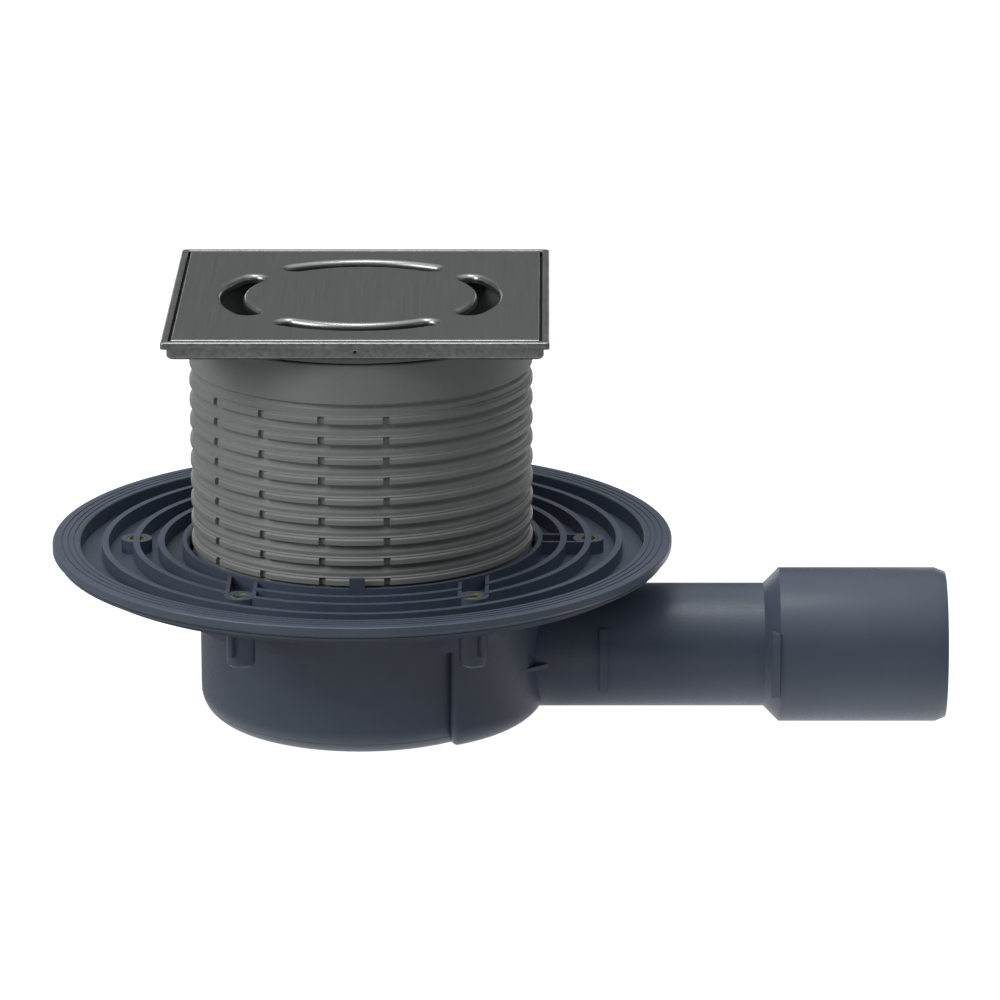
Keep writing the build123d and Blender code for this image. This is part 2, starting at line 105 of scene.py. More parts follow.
def rounded_profile(corners: list[Triple], steps: int = 5) -> np.ndarray:
    """Rounds each corner of a closed outline with an arc.

    An arc of radius r that touches both sides of a corner has its centre on the corner's
    bisector, at r / sin(half the corner) from it. Its points turn evenly from one tangent
    point to the other.

    Args:
        corners: First coordinate, second coordinate and corner radius of each corner.
        steps: Points on each arc.

    Returns:
        Points of the closed outline, one row each.
    """
    table = np.asarray(corners, float)
    here, radius = table[:, :2], np.maximum(table[:, 2], NO_ROUND)
    back = np.roll(here, 1, axis=0) - here
    ahead = np.roll(here, -1, axis=0) - here
    back /= np.linalg.norm(back, axis=1, keepdims=True)
    ahead /= np.linalg.norm(ahead, axis=1, keepdims=True)
    half = np.arccos(np.clip((back * ahead).sum(1), -1, 1)) / 2
    bisector = back + ahead
    length = np.linalg.norm(bisector, axis=1, keepdims=True)
    straight = length[:, 0] < NO_BEND
    centre = here + bisector / np.where(length < NO_BEND, 1, length) * (radius / np.sin(half))[:, None]
    reach = (radius / np.tan(np.where(straight, np.pi / 4, half)))[:, None]
    first, last = here + back * reach - centre, here + ahead * reach - centre
    spread = np.pi - 2 * half
    share = np.linspace(0, 1, steps)[None, :, None]
    sweep = np.maximum(spread, NO_TURN)[:, None, None]
    arc = np.sin((1 - share) * sweep) * first[:, None] + np.sin(share * sweep) * last[:, None]
    points = centre[:, None] + arc / np.sin(sweep)
    points[straight] = here[straight][:, None]
    points = points.reshape(-1, 2)
    keep = np.linalg.norm(points - np.roll(points, 1, axis=0), axis=1) > NO_STEP
    return points[keep]


def grid_faces(rows: int, columns: int, wrap_rows: bool, wrap_columns: bool) -> np.ndarray:
    """Lists the four-sided faces of a grid of points.

    Args:
        rows: Rows of points.
        columns: Points in a row.
        wrap_rows: Whether the last row joins the first.
        wrap_columns: Whether the last point of a row joins its first.

    Returns:
        Point numbers, four to a face.
    """
    index = np.arange(rows * columns).reshape(rows, columns)
    if wrap_rows:
        index = np.vstack([index, index[:1]])
    if wrap_columns:
        index = np.hstack([index, index[:, :1]])
    return np.stack([index[:-1, :-1], index[:-1, 1:], index[1:, 1:], index[1:, :-1]], -1).reshape(-1, 4)


def grid_mesh(
    name: str, grids: list[tuple[np.ndarray, bool, bool]], sharp_angle: float = 34.0
) -> Object:
    """Builds one object from grids of points in millimetres, joined where they meet.

    Args:
        name: The piece's name.
        grids: Points as rows, columns and three coordinates, then whether rows and columns wrap.
        sharp_angle: Angle in degrees past which an edge stays sharp.

    Returns:
        The new object, with its faces outwards.
    """
    points, faces, start = [], [], 0
    for grid, wrap_rows, wrap_columns in grids:
        rows, columns = grid.shape[:2]
        points.append(grid.reshape(-1, 3) * MM)
        faces.append(grid_faces(rows, columns, wrap_rows, wrap_columns) + start)
        start += rows * columns
    mesh = bpy.data.meshes.new(name)
    mesh.from_pydata(np.vstack(points).tolist(), [], np.vstack(faces).tolist())
    finish_mesh(mesh, sharp_angle)
    piece = placed(name, mesh)
    weight_normals(piece)
    return piece


def placed(name: str, data: ID) -> Object:
    """Puts a new object with the given mesh, camera or light into the scene."""
    thing = bpy.data.objects.new(name, data)
    bpy.context.scene.collection.objects.link(thing)
    return thing


def finish_mesh(mesh: Mesh, sharp_angle: float) -> None:
    """Merges doubles, turns faces outwards and shades smooth up to an angle.

    Args:
        mesh: The mesh to finish.
        sharp_angle: Angle in degrees past which an edge stays sharp.
    """
    work = bmesh.new()
    work.from_mesh(mesh)
    bmesh.ops.remove_doubles(work, verts=work.verts, dist=MERGE_DISTANCE)
    bmesh.ops.dissolve_degenerate(work, edges=work.edges, dist=1e-7)
    bmesh.ops.recalc_face_normals(work, faces=work.faces)
    if work.calc_volume(signed=True) < 0:
        bmesh.ops.reverse_faces(work, faces=work.faces)
    work.to_mesh(mesh)
    work.free()
    mesh.shade_smooth()
    mesh.set_sharp_from_angle(angle=radians(sharp_angle))


def weight_normals(piece: Object) -> None:
    """Keeps flat faces flat beside rounded edges."""
    weighting = piece.modifiers.new("flat_faces", "WEIGHTED_NORMAL")
    weighting.keep_sharp = True
    weighting.weight = 80


def read_rows(items: bpy_prop_collection, name: str, width: int, kind: type = float) -> np.ndarray:
    """Reads one property of every item, one row of the given width to an item."""
    values = np.empty(len(items) * width, dtype=kind)
    items.foreach_get(name, values)
    return values.reshape(-1, width)


def smoothed_node(
    frame: dict, node: str, name: str, sharp_angle: float = 30.0, edge_round: float = 0.0,
    square_band: Triple = (0.0, 0.0, 0.0),
) -> Object:
    """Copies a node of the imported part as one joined, smoothly shaded mesh.

    Args:
        node: The node's name.
        name: The piece's name.
        sharp_angle: Angle in degrees past which an edge stays sharp.
        edge_round: Width in millimetres of the rounding of sharp edges, or 0 for none.
        square_band: Least radius, greatest radius and least height of edges that stay square.

    Returns:
        The new object.
    """
    source = frame["nodes"][node].data
    faces = read_rows(source.loops, "vertex_index", 1, int).reshape(-1, 3)
    mesh = bpy.data.meshes.new(name)
    mesh.from_pydata(read_rows(source.vertices, "co", 3).tolist(), [], faces.tolist())
    work = bmesh.new()
    work.from_mesh(mesh)
    bmesh.ops.remove_doubles(work, verts=work.verts, dist=MERGE_DISTANCE)
    bmesh.ops.dissolve_limit(work, angle_limit=radians(FLAT_ANGLE), verts=work.verts, edges=work.edges)
    work.to_mesh(mesh)
    work.free()
    mesh.shade_smooth()
    mesh.set_sharp_from_angle(angle=radians(sharp_angle))
    piece = placed(name, mesh)
    if edge_round:
        rounding = piece.modifiers.new("edge_round", "BEVEL")
        rounding.width = edge_round * MM
        rounding.segments = 2
        rounding.limit_method = "WEIGHT"
        rounding.harden_normals = True
        weigh_edges(mesh, square_band)
    else:
        weight_normals(piece)
    return piece


def weigh_edges(mesh: Mesh, square_band: Triple) -> None:
    """Marks the sharp edges that get rounded: all but those in a band round the upright axis.

    Args:
        mesh: The mesh, with its sharp edges set.
        square_band: Least radius, greatest radius and least height in millimetres of the band.
    """
    ends = read_rows(mesh.edges, "vertices", 2, int)
    middles = read_rows(mesh.vertices, "co", 3)[ends].mean(1) / MM
    sharp = read_rows(mesh.attributes["sharp_edge"].data, "value", 1, bool)[:, 0]
    reach = np.hypot(middles[:, 0], middles[:, 1])
    least, most, low = square_band
    in_band = (reach > least) & (reach < most) & (middles[:, 2] > low)
    weights = mesh.attributes.new("bevel_weight_edge", "FLOAT", "EDGE")
    weights.data.foreach_set("value", (sharp & ~in_band).astype(np.float32))


def joined(pieces: list[Object]) -> Object:
    """Moves the meshes of all pieces into the first, which keeps its modifiers.

    Args:
        pieces: The pieces, of which only the first stays.

    Returns:
        The first piece.
    """
    work = bmesh.new()
    for piece in pieces:
        work.from_mesh(piece.data)
    work.to_mesh(pieces[0].data)
    work.free()
    for piece in pieces[1:]:
        bpy.data.objects.remove(piece)
    return pieces[0]


def revolved(
    profile: np.ndarray, angles: np.ndarray, centre: tuple[float, float] = (0.0, 0.0)
) -> np.ndarray:
    """Turns a profile about an upright line: x = r cos(angle), y = r sin(angle), z as it is.

    Args:
        profile: Radius and height of each point of the section.
        angles: Angles in radians at which the section stands.
        centre: X and Y of the line.

    Returns:
        Points as angles, profile points and three coordinates.
    """
    radius, height = profile.T
    return np.stack(
        [
            centre[0] + radius * np.cos(angles)[:, None],
            centre[1] + radius * np.sin(angles)[:, None],
            np.broadcast_to(height, (len(angles), len(profile))),
        ],
        -1,
    )


def full_turn(count: int) -> np.ndarray:
    """Gives evenly spaced angles of one whole turn, in radians."""
    return np.linspace(0, TURN, count, endpoint=False)


def unit(angles: np.ndarray) -> np.ndarray:
    """Gives the cosine and sine of each angle in radians as X and Y."""
    return np.stack([np.cos(angles), np.sin(angles)], -1)


def at_height(flat: np.ndarray, height: float) -> np.ndarray:
    """Gives flat points a height as their third coordinate."""
    return np.column_stack([flat, np.full(len(flat), height)])


def ring_mesh(
    name: str, section: np.ndarray, segments: int, sharp_angle: float = 34.0,
    centre: tuple[float, float] = (0.0, 0.0),
) -> Object:
    """Builds one object from a closed section turned once about an upright line.

    Args:
        name: The piece's name.
        section: Radius and height in millimetres of each point of the section.
        segments: Places round the turn at which the section stands.
        sharp_angle: Angle in degrees past which an edge stays sharp.
        centre: X and Y of the line in millimetres.

    Returns:
        The new object, with its faces outwards.
    """
    return grid_mesh(name, [(revolved(section, full_turn(segments), centre), True, True)], sharp_angle)


# Effects that more than one material uses


def group(name: str, inputs: dict[str, float], outputs: list[str]) -> tuple[NodeTree, Node, Node]:
    """Starts a shader node group with named sockets.

    Args:
        name: The group's name.
        inputs: Name and first value of each number that goes in.
        outputs: Names of the values that come out.

    Returns:
        The group, its input node and its output node.
    """
    tree = bpy.data.node_groups.new(name, "ShaderNodeTree")
    for socket, value in inputs.items():
        way_in = tree.interface.new_socket(socket, in_out="INPUT", socket_type="NodeSocketFloat")
        way_in.default_value = value
    for socket in outputs:
        tree.interface.new_socket(socket, in_out="OUTPUT", socket_type="NodeSocketFloat")
    return tree, tree.nodes.new("NodeGroupInput"), tree.nodes.new("NodeGroupOutput")


def add_node(tree: NodeTree, kind: str, values: dict, effect: NodeTree | None = None) -> Node:
    """Adds a node with constants on its sockets.

    Args:
        tree: The nodes that it joins.
        kind: The node's type.
        values: The constant of each named or numbered input.
        effect: The shared group that a group node places.

    Returns:
        The new node.
    """
    node = tree.nodes.new(kind)
    if effect is not None:
        node.node_tree = effect
    for socket, value in values.items():
        node.inputs[socket].default_value = value
    return node


def spread_node(tree: NodeTree, source: tuple[float, float], result: tuple[float, float]) -> Node:
    """Adds a node that carries one range of numbers over to another."""
    names = ("From Min", "From Max", "To Min", "To Max")
    return add_node(tree, "ShaderNodeMapRange", dict(zip(names, (*source, *result))))


def mottle_group() -> NodeTree:
    """Makes soft patches with a fine grain over them, from two noises on Object coordinates."""
    tree, given, result = group("mottle", {"Patch Scale": 60.0, "Grain Scale": 900.0}, ["Patch", "Grain"])
    place = tree.nodes.new("ShaderNodeTexCoord")
    for socket, output, detail in (("Patch Scale", "Patch", 3.0), ("Grain Scale", "Grain", 2.0)):
        noise = add_node(tree, "ShaderNodeTexNoise", {"Detail": detail})
        tree.links.new(place.outputs["Object"], noise.inputs["Vector"])
        tree.links.new(given.outputs[socket], noise.inputs["Scale"])
        tree.links.new(noise.outputs["Fac"], result.inputs[output])
    return tree


def streak_group(grain: Grain) -> NodeTree:
    """Makes polishing lines: noise that is stretched along the direction of the strokes.

    Args:
        grain: The direction of the lines.

    Returns:
        The group, whose one output is the lines' strength.
    """
    tree, given, result = group(f"streaks_{grain.name.lower()}", {"Size": 1.0}, ["Streak"])
    place = tree.nodes.new("ShaderNodeTexCoord")
    stretch = add_node(tree, "ShaderNodeMapping", {"Scale": grain.value})
    noise = add_node(tree, "ShaderNodeTexNoise", {"Detail": 4.0})
    tree.links.new(place.outputs["Object"], stretch.inputs["Vector"])
    tree.links.new(stretch.outputs["Vector"], noise.inputs["Vector"])
    tree.links.new(given.outputs["Size"], noise.inputs["Scale"])
    tree.links.new(noise.outputs["Fac"], result.inputs["Streak"])
    return tree


@dataclass(frozen=True)
class Effects:
    """The shared node groups, built once."""

    mottle: NodeTree
    streaks: dict[Grain, NodeTree]


@dataclass(frozen=True)
class Finish:
    """One surface finish: two tones that a pattern mixes, a roughness range and a fine relief."""

    name: str
    dark: Triple
    light: Triple
    rough_low: float
    rough_high: float
    metallic: float = 0.0
    specular: float = 0.5
    patch_scale: float = 55.0
    grain_scale: float = 1100.0
    relief: float = 0.00002
    lines: Grain | None = None

    def build(self, effects: Effects) -> Material:
        """Builds the finish as a procedural material.

        Args:
            effects: The shared node groups.

        Returns:
            The material.
        """
        material = bpy.data.materials.new(self.name)
        material.use_nodes = True
        tree = material.node_tree
        link = tree.links.new
        shader = tree.nodes["Principled BSDF"]
        shader.inputs["Metallic"].default_value = self.metallic
        shader.inputs["Specular IOR Level"].default_value = self.specular
        scales = {"Patch Scale": self.patch_scale, "Grain Scale": self.grain_scale}
        mottle = add_node(tree, "ShaderNodeGroup", scales, effects.mottle)
        pattern, relief = mottle.outputs["Patch"], mottle.outputs["Grain"]
        if self.lines is not None:
            streaks = add_node(tree, "ShaderNodeGroup", {"Size": 1.0}, effects.streaks[self.lines])
            relief = streaks.outputs["Streak"]
            both = add_node(tree, "ShaderNodeMath", {1: PATCH_SHARE})
            both.operation = "MULTIPLY_ADD"
            link(mottle.outputs["Patch"], both.inputs[0])
            scaled = add_node(tree, "ShaderNodeMath", {1: LINE_SHARE})
            scaled.operation = "MULTIPLY"
            link(streaks.outputs["Streak"], scaled.inputs[0])
            link(scaled.outputs[0], both.inputs[2])
            pattern = both.outputs[0]
        tone = spread_node(tree, TONE_RANGE, (0.0, 1.0))
        link(pattern, tone.inputs["Value"])
        colour = tree.nodes.new("ShaderNodeMix")
        colour.data_type = "RGBA"
        colour.inputs["A"].default_value = (*self.dark, 1.0)
        colour.inputs["B"].default_value = (*self.light, 1.0)
        link(tone.outputs["Result"], colour.inputs["Factor"])
        link(colour.outputs["Result"], shader.inputs["Base Color"])
        rough = spread_node(tree, ROUGH_RANGE, (self.rough_low, self.rough_high))
        link(relief, rough.inputs["Value"])
        link(rough.outputs["Result"], shader.inputs["Roughness"])
        bump = add_node(tree, "ShaderNodeBump", {"Distance": self.relief})
        link(relief, bump.inputs["Height"])
        link(bump.outputs["Normal"], shader.inputs["Normal"])
        return material


SLATE_PLASTIC = Finish("slate_plastic", (0.056, 0.073, 0.104), (0.064, 0.082, 0.116), 0.36, 0.48)
GREY_PLASTIC = Finish(
    "grey_plastic", (0.195, 0.203, 0.198), (0.218, 0.226, 0.221), 0.42, 0.5, specular=0.45
)
TRAP_PLASTIC = Finish("trap_plastic", (0.03, 0.032, 0.034), (0.04, 0.042, 0.045), 0.4, 0.55)
BLACK_RUBBER = Finish(
    "black_rubber", (0.012, 0.012, 0.013), (0.02, 0.02, 0.021), 0.6, 0.8, specular=0.3, relief=0.00004
)
THREAD_BRASS = Finish(
    "thread_brass", (0.13, 0.135, 0.055), (0.21, 0.21, 0.10), 0.45, 0.65, metallic=0.6, patch_scale=900.0
)
GRATE_STEEL = Finish(
    "grate_steel", (0.30, 0.31, 0.305), (0.33, 0.34, 0.335), 0.3, 0.34, metallic=1.0, patch_scale=18.0,
    lines=Grain.ALONG_Y, relief=0.000001,
)
FRAME_STEEL = Finish(
    "frame_steel", (0.20, 0.203, 0.20), (0.35, 0.353, 0.35), 0.3, 0.44, metallic=1.0, patch_scale=240.0,
    lines=Grain.NONE, relief=0.00003,
)
# Painted shade: near-black dull steel that stands in for the shadow down in the frame's channel.
CHANNEL_PAINTED_SHADE = Finish("channel_painted_shade", (0.012, 0.012, 0.012), (0.02, 0.02, 0.02), 0.6, 0.8, metallic=0.5)


@dataclass
class Workshop:
    """What every piece needs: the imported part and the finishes."""

    frame: dict
    effects: Effects
    materials: dict[str, Material] = field(default_factory=dict)

    def dress(self, piece: Object, finish: Finish, body: Body, node: str, slot: str) -> None:
        """Gives a piece its finish and its body, and hides the node that it stands for.

        Args:
            piece: The new piece.
            finish: Its surface finish.
            body: The body that it rides on.
            node: The node that it replaces.
            slot: The record's material slot; not used.
        """
        if finish.name not in self.materials:
            self.materials[finish.name] = finish.build(self.effects)
        piece.data.materials.clear()
        piece.data.materials.append(self.materials[finish.name])
        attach(piece, body.value)
        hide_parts(node)
        LOG.info("%s: %d faces", piece.name, len(piece.data.polygons))


# Sub-assemblies


@dataclass
class DrainBody:
    """The slate-blue moulding: bowl, socket, ribbed clamping flange, bosses and outlet pipe."""

    shop: Workshop
    bowl_r: float = 52.7
    bowl_edge_round: float = 9.0
    bowl_wall: float = 2.0
    proud: float = 0.03
    band_from: float = -62.0
    band_to: float = -32.0
    band_steps: int = 13
    sharp_angle: float = 32.0
    edge_round: float = 0.14
    rim_grooves: Triple = (92.0, 98.0, 58.2)
    segments: int = 240

    def lower_edge(self) -> Object:
        """Builds the band of the bowl's rounded lower edge, which closes the wall there.

        Its section is a part of a ring about the rounding's centre: from the outer radius,
        a hair proud of the facets, to that radius less the wall.

        Returns:
            The band.
        """
        arc = unit(np.radians(np.linspace(self.band_from, self.band_to, self.band_steps)))
        outer = arc * (self.bowl_edge_round + self.proud)
        inner = arc[::-1] * (self.bowl_edge_round - self.bowl_wall)
        section = np.vstack([outer, inner]) + (self.bowl_r - self.bowl_edge_round, self.bowl_edge_round)
        return ring_mesh("bowl_lower_edge", section, self.segments)

    def build(self) -> None:
        """Joins the moulding's surfaces and dresses it."""
        body = smoothed_node(
            self.shop.frame, "drain_body", "drain_body_moulding",
            self.sharp_angle, self.edge_round, self.rim_grooves,
        )
        piece = joined([body, self.lower_edge()])
        self.shop.dress(piece, SLATE_PLASTIC, Body.DRAIN, "drain_body", "body_plastic")


@dataclass
class ThreadedInserts:
    """Six brass inserts, each a ring with a bevelled mouth and an inner thread."""

    shop: Workshop
    count: int = 6
    circle_r: float = 73.0
    outer_r: float = 3.2
    hole_r: float = 2.1
    top_z: float = 57.7
    length: float = 9.0
    thread_pitch: float = 0.8
    thread_depth: float = 0.25
    mouth: float = 0.35
    edge: float = 0.2
    sharp_angle: float = 25.0
    segments: int = 40

    def section(self) -> np.ndarray:
        """Works out the ring's section.

        The bore's radius goes in and out with the height: hole radius + thread depth times
        the saw of height over pitch, from 0 at a crest to 1 at a root.

        Returns:
            Radius and height of each point.
        """
        low = self.top_z - self.length
        heights = np.arange(low + self.mouth, self.top_z - self.mouth, self.thread_pitch / 4)
        phase = (self.top_z - heights) / self.thread_pitch % 1
        bore = self.hole_r + self.thread_depth * (1 - np.abs(2 * phase - 1))
        thread = np.stack([bore, heights], 1)
        edge = self.edge
        around = np.array(
            [
                (self.hole_r + self.mouth, self.top_z),
                (self.outer_r - edge, self.top_z),
                (self.outer_r, self.top_z - edge),
                (self.outer_r, low + edge),
                (self.outer_r - edge, low),
                (self.hole_r + self.mouth, low),
            ]
        )
        return np.vstack([thread, around])

    def build(self) -> None:
        """Builds and dresses the six inserts."""
        section = self.section()
        for number in range(self.count):
            turn = TURN * number / self.count
            centre = (self.circle_r * np.cos(turn), self.circle_r * np.sin(turn))
            node = f"threaded_insert_{number + 1}"
            name = f"brass_insert_{number + 1}"
            piece = ring_mesh(name, section, self.segments, self.sharp_angle, centre)
            self.shop.dress(piece, THREAD_BRASS, Body.DRAIN, node, "brass")


@dataclass
class ExtensionTube:
    """The grey tube: a plain neck, stepped rings with notches cut in them, and a plain lower end."""

    shop: Workshop
    bore_r: float = 51.5
    neck_r: float = 55.0
    valley_r: float = 54.2
    shoulder_r: float = 54.8
    cove_r: float = 53.2
    cove_foot_r: float = 54.3
    crest_r: float = 55.1
    neck_length: float = 12.8
    neck_taper: float = 2.3
    first_ring_drop: float = 18.45
    ring_pitch: float = 6.58
    ring_count: int = 10
    notched_rings: int = 9
    shoulder_rise: float = 1.95
    cove_fall: float = 3.4
    crest_half: float = 0.95
    slope: float = 0.35
    groove_r: float = 53.0
    groove_rise: float = 5.4
    groove_height: float = 4.2
    lead: float = 1.0
    notch_angles: tuple[float, ...] = (-145.0, -123.2, -101.6, -80.1)
    notch_width: float = 2.1
    notch_height: float = 2.5
    notch_rise: float = 0.25
    notch_depth: float = 1.3
    # In half widths: where a notch's wall ends, where other columns start, the slack.
    notch_wall: float = 1.04
    notch_clear: float = 1.3
    notch_slack: float = 1.001
    sharp_angle: float = 40.0
    segments: int = 240

    def ring_heights(self, top_z: float) -> np.ndarray:
        """Gives the height of each ring's crest, from the top down."""
        return top_z - self.first_ring_drop - np.arange(self.ring_count) * self.ring_pitch

    def section(self, low_z: float, top_z: float) -> np.ndarray:
        """Works out the tube's closed section, with its small edges rounded.

        Each row below is a corner's radius, its height and the radius of its rounding.

        Args:
            low_z: Height of the lower end.
            top_z: Height of the upper end.

        Returns:
            Radius and height of each point, from the bore's top outwards and down.
        """
        neck_z = top_z - self.neck_length
        corners = [
            (self.bore_r, top_z, 0.2),
            (self.neck_r, top_z, 0.6),
            (self.neck_r, neck_z, 0.15),
            (self.cove_r, neck_z - 0.7, 0.5),
            (self.cove_foot_r, neck_z - self.neck_taper + 0.2, 0.3),
            (self.valley_r, neck_z - self.neck_taper, 0.1),
        ]
        for z in self.ring_heights(top_z):
            corners += [
                (self.valley_r, z + self.shoulder_rise, 0.1),
                (self.shoulder_r, z + self.shoulder_rise - self.slope, 0.25),
                (self.shoulder_r - 0.2, z + self.crest_half + self.slope, 0.1),
                (self.crest_r, z + self.crest_half - 0.15, 0.45),
                (self.crest_r, z - self.crest_half + 0.1, 0.25),
                (self.cove_r, z - self.crest_half - 0.4, 0.35),
                (self.cove_r + 0.1, z - self.crest_half - 1.3, 1.2),
                (self.cove_foot_r, z - self.cove_fall, 0.8),
            ]
        groove_low = low_z + self.groove_rise
        groove_top = groove_low + self.groove_height
        corners += [
            (self.valley_r, groove_top, 0.15),
            (self.groove_r, groove_top, 0.1),
            (self.groove_r, groove_low, 0.1),
            (self.valley_r, groove_low, 0.15),
            (self.valley_r, low_z + self.lead, 0.3),
            (self.valley_r - self.lead, low_z, 0.2),
            (self.bore_r, low_z, 0.2),
        ]
        return rounded_profile(corners, 4)

    def angles(self) -> np.ndarray:
        """Gives the angles of the columns, with pairs at both sides of every notch."""
        half, middle = self.half_notch(), np.radians(self.notch_angles)
        sides = np.array([-self.notch_wall, -1.0, 1.0, self.notch_wall])
        pairs = (middle[:, None] + sides * half).ravel() % TURN
        even = full_turn(self.segments)
        return np.sort(np.concatenate([even[self.from_notch(even) > half * self.notch_clear], pairs]))

    def half_notch(self) -> float:
        """Gives the angle in radians that half of a notch takes up."""
        return self.notch_width / 2 / self.crest_r

    def from_notch(self, angles: np.ndarray) -> np.ndarray:
        """Gives each angle's distance in radians from the middle of the nearest notch."""
        middle = np.radians(self.notch_angles)
        return np.abs((angles[:, None] - middle + np.pi) % TURN - np.pi).min(1)

    def build(self) -> None:
        """Builds the tube and dresses it.

        Inside a notch's width, and within its height about a ring's crest, the radius is no
        more than the crest's radius less the notch's depth.
        """
        low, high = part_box("extension_tube")
        low_z, top_z = low[2] / MM, high[2] / MM
        section = self.section(low_z, top_z)
        angles = self.angles()
        points = revolved(section, angles)
        across = self.from_notch(angles) <= self.half_notch() * self.notch_slack
        rings = self.ring_heights(top_z)[: self.notched_rings]
        above = section[:, 1, None] - rings - self.notch_rise
        along = np.abs(above).min(1) <= self.notch_height / 2
        floor_r = self.crest_r - self.notch_depth
        limit = across[:, None] & along & (section[:, 0] > floor_r)
        scale = np.where(limit, floor_r / section[:, 0], 1.0)
        points[..., :2] *= scale[..., None]
        piece = grid_mesh("ribbed_tube", [(points, True, True)], self.sharp_angle)
        self.shop.dress(piece, GREY_PLASTIC, Body.EXTENSION, "extension_tube", "tube_plastic")


@dataclass
class RubberParts:
    """The lip seal in the socket and the ring in the funnel's groove."""

    shop: Workshop
    seat_r: float = 53.1
    heel_r: float = 54.3
    lip_height: float = 1.2
    lip_inner_r: float = 54.9
    lip_inner_drop: float = 0.5
    throat_r: float = 54.1
    throat_drop: float = 0.1
    o_ring_steps: int = 20
    o_ring_sharp_angle: float = 60.0
    segments: int = 200

    def build(self) -> None:
        """Builds and dresses both rubber rings."""
        low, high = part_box("extension_seal")
        low_z, top_z, lip_r = low[2] / MM, high[2] / MM, high[0] / MM
        lip = rounded_profile(
            [
                (self.seat_r, low_z, 0.3),
                (self.heel_r, low_z, 0.3),
                (lip_r, top_z - self.lip_height, 0.25),
                (lip_r, top_z, 0.25),
                (self.lip_inner_r, top_z - self.lip_inner_drop, 0.5),
                (self.throat_r, top_z - self.throat_drop, 0.2),
                (self.seat_r, top_z, 0.2),
            ]
        )
        seal = ring_mesh("lip_seal", lip, self.segments)
        self.shop.dress(seal, BLACK_RUBBER, Body.SEAL, "extension_seal", "rubber")
        low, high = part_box("trap_ring")
        middle_z, section_r = (low[2] + high[2]) / 2 / MM, (high[2] - low[2]) / 2 / MM
        ring_r = high[0] / MM - section_r
        section = (ring_r, middle_z) + section_r * unit(full_turn(self.o_ring_steps))
        ring = ring_mesh("trap_o_ring", section, self.segments, self.o_ring_sharp_angle)
        self.shop.dress(ring, BLACK_RUBBER, Body.DRAIN, "trap_ring", "rubber")


@dataclass
class TrapInsert:
    """The funnel with its dip tube and pull bar, and the cup that holds the water."""

    shop: Workshop

    def build(self) -> None:
        """Joins the surfaces of both mouldings and dresses them."""
        for node in ("trap_funnel", "trap_cup"):
            piece = smoothed_node(self.shop.frame, node, f"{node}_moulding")
            self.shop.dress(piece, TRAP_PLASTIC, Body.DRAIN, node, "insert_plastic")


@dataclass
class NeckRing:
    """The round neck between the tube and the frame."""

    shop: Workshop
    bore_r: float = 49.5
    spigot_r: float = 51.4
    neck_r: float = 55.0
    upstand_r: float = 53.0
    seam: float = 0.45
    segments: int = 200

    def build(self) -> None:
        """Builds the ring as a rounded section turned about the drain's line."""
        low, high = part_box("neck_ring")
        low_z, top_z = low[2] / MM, high[2] / MM
        tube_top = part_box("extension_tube")[1][2] / MM
        frame_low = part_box("grate_frame")[0][2] / MM
        section = rounded_profile(
            [
                (self.bore_r, low_z, 0.3),
                (self.spigot_r, low_z, 0.5),
                (self.spigot_r, tube_top + self.seam, 0.05),
                (self.neck_r, tube_top + self.seam, 0.3),
                (self.neck_r, frame_low, 0.3),
                (self.upstand_r, frame_low, 0.05),
                (self.upstand_r, top_z, 0.2),
                (self.bore_r, top_z, 0.2),
            ]
        )
        ring = ring_mesh("round_neck_ring", section, self.segments)
        self.shop.dress(ring, GREY_PLASTIC, Body.EXTENSION, "neck_ring", "tube_plastic")


